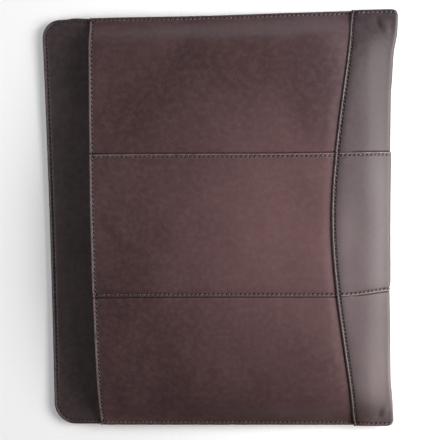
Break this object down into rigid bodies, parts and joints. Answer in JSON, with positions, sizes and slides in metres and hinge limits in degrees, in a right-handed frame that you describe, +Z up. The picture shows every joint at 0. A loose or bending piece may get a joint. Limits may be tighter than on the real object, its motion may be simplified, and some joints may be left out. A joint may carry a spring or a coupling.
{
  "type": "leather document case",
  "caption": "Flat leather sleeve that opens at one end, with a rounded flap, a front of lapped panels and a slip pocket under the wrapped closed end.",
  "frame": {"origin": "middle of the case's footprint, on the surface that it lies on", "axes": "+X towards the closed end, +Y along the case's long side, +Z up through the front"},
  "size_m": [0.2934, 0.3446, 0.0242],
  "materials": {
    "back_leather": "dark brown smooth leather, semi-gloss",
    "facing_leather": "dark brown smooth leather, satin",
    "front_leather": "dark reddish brown smooth leather, semi-gloss",
    "wrap_leather": "dark brown smooth leather, semi-gloss",
    "thread": "waxed brown sewing thread"
  },
  "bodies": {
    "root": {"back_panel": "back_leather", "back_facing": "facing_leather", "front_upper": "front_leather", "front_middle": "front_leather", "front_lower": "front_leather", "wrap_upper": "wrap_leather", "wrap_middle": "wrap_leather", "wrap_lower": "wrap_leather"}
  },
  "joints": []
}
